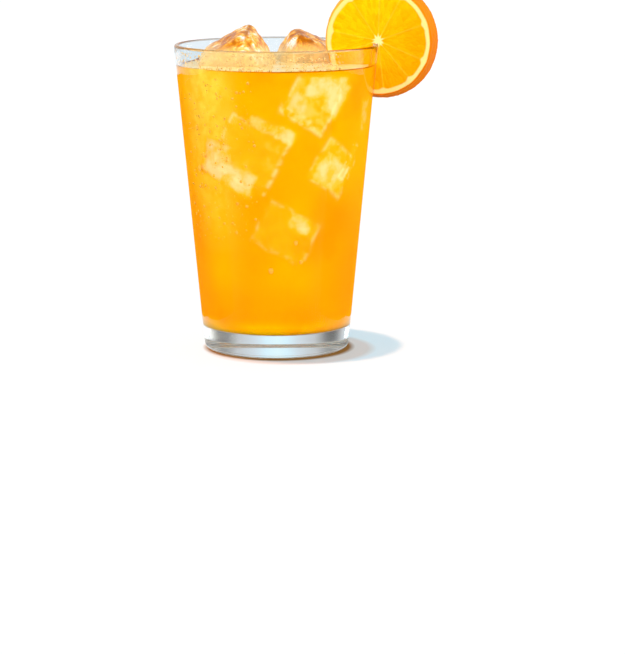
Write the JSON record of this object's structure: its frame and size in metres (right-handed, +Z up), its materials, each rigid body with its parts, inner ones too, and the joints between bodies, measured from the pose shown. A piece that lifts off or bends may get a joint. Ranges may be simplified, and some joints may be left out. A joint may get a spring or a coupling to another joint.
{
  "type": "glass of orange juice",
  "caption": "Tapered clear tumbler with a thick base, filled with orange juice and ice, with an orange slice slit onto its rim.",
  "frame": {"origin": "middle of the tumbler's foot, on the table", "axes": "+Z up along the tumbler's axis, +X towards the orange slice on the rim, -Y the side seen from the front"},
  "size_m": [0.1162, 0.0898, 0.1627],
  "materials": {
    "clear_glass": "clear, fire-polished",
    "orange_juice": "clear golden-orange liquid",
    "ice": "wet, partly melted ice",
    "orange_fruit": "moist cut fruit with waxy rind"
  },
  "bodies": {
    "root": {"glass": "clear_glass", "juice": "orange_juice", "ice_left": "ice", "ice_right": "ice", "orange_slice": "orange_fruit"}
  },
  "joints": []
}
